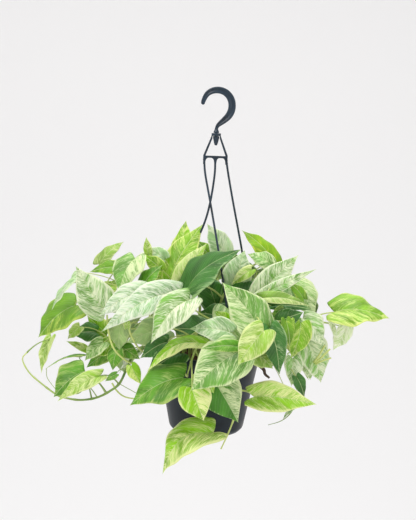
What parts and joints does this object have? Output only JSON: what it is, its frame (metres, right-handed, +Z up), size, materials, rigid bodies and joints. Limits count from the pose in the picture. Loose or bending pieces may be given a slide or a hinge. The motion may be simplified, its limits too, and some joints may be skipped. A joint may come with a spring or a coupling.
{
  "type": "potted marble queen pothos",
  "caption": "Hanging nursery pot with a swivel hook and a hanger of thin strands, filled with soil and leafy trailing vines with heart-shaped marbled leaves.",
  "frame": {"origin": "inner crown of the hook, the point that bears on what the pot hangs from", "axes": "+Z up along the hook's neck and the pot's axis, +X towards the viewer's right in the front view, -Y towards the viewer"},
  "size_m": [0.537, 0.4403, 0.552],
  "materials": {
    "hook_plastic": "moulded, slightly glossy, slate black",
    "hanger_plastic": "moulded, slightly glossy, slate black",
    "pot_plastic": "moulded, satin, near black",
    "potting_mix": "loose peat and bark, matt",
    "leaf": "waxy living leaf, satin, marbled green and cream"
  },
  "bodies": {
    "hook": {"hook": "hook_plastic"},
    "basket": {"hanger": "hanger_plastic", "pot": "pot_plastic", "soil": "potting_mix", "vine_left_high": "leaf", "vine_top_left": "leaf", "vine_top": "leaf", "vine_middle_left": "leaf", "vine_front_left": "leaf", "vine_front_trail": "leaf", "vine_middle": "leaf", "vine_right_high": "leaf", "vine_right_mid": "leaf", "vine_right_low": "leaf", "vine_left_trail": "leaf", "vine_left_low": "leaf", "vine_back_right": "leaf", "vine_back_right_outer": "leaf", "vine_back": "leaf", "vine_back_middle": "leaf", "vine_back_left_outer": "leaf", "vine_back_left": "leaf", "vine_crown_left": "leaf", "vine_crown_right": "leaf"}
  },
  "joints": [
    {"name": "hook_swivel", "type": "hinge", "parent": "hook", "child": "basket", "pos_m": [0, 0, -0.06], "axis": [0, 0, 1], "continuous": true}
  ]
}
